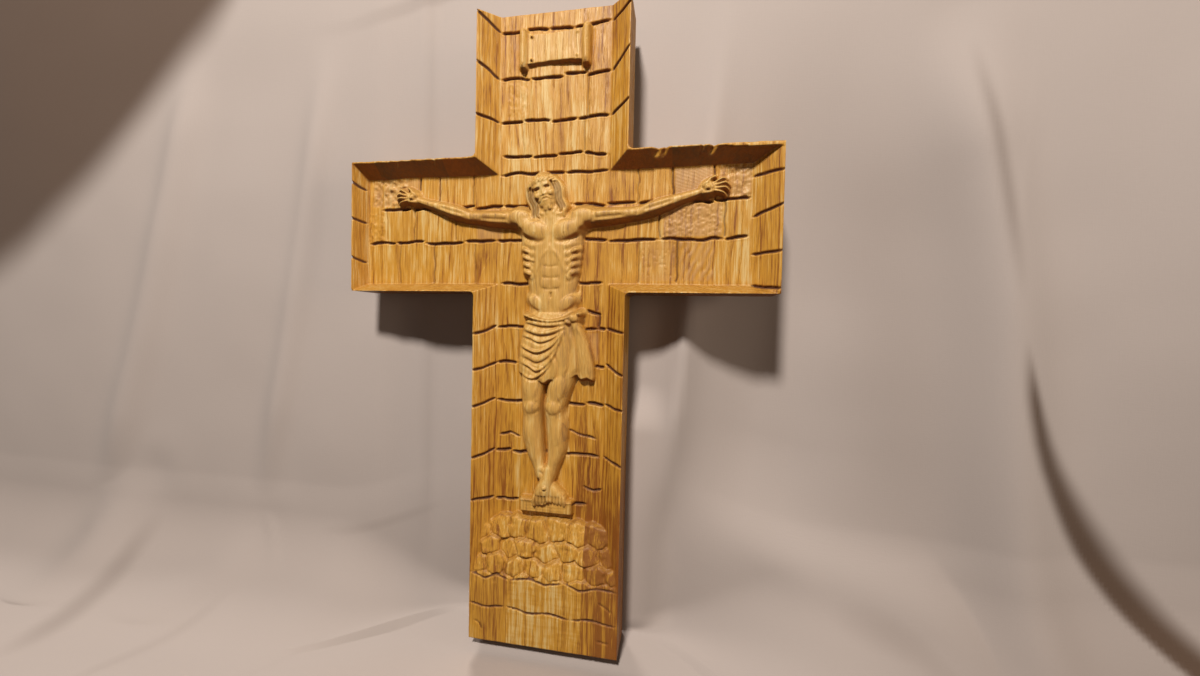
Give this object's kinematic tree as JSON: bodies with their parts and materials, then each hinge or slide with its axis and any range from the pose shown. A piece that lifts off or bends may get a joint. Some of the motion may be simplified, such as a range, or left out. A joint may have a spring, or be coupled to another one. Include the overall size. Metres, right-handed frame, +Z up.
{
  "type": "wall crucifix",
  "caption": "Carved wooden wall cross with a corpus in low relief in a hollow face, glued up from upright staves, hung by a ring in a pocket in its back.",
  "frame": {"origin": "middle of the foot of the upright, halfway through the board's thickness", "axes": "+X to the viewer's right along the arms, +Y from the carved face to the back, +Z up along the upright"},
  "size_m": [0.273, 0.026, 0.4],
  "materials": {
    "ash_light": "oiled",
    "ash_dark": "oiled",
    "zinc": "zinc plated",
    "zinc_wire": "zinc plated",
    "zinc_screws": "zinc plated"
  },
  "bodies": {
    "board": {"stave_end_left": "ash_dark", "stave_arm_left": "ash_light", "stave_side_left": "ash_dark", "stave_centre": "ash_light", "stave_side_right": "ash_dark", "stave_arm_right": "ash_light", "stave_end_right": "ash_dark", "hanger_strap": "zinc", "hanger_screws": "zinc_screws"},
    "ring": {"hanger_ring": "zinc_wire"}
  },
  "joints": [
    {"name": "ring_swing", "type": "hinge", "parent": "board", "child": "ring", "pos_m": [0, 0.0104, 0.362], "axis": [1, 0, 0], "range_deg": [0, 180]}
  ]
}
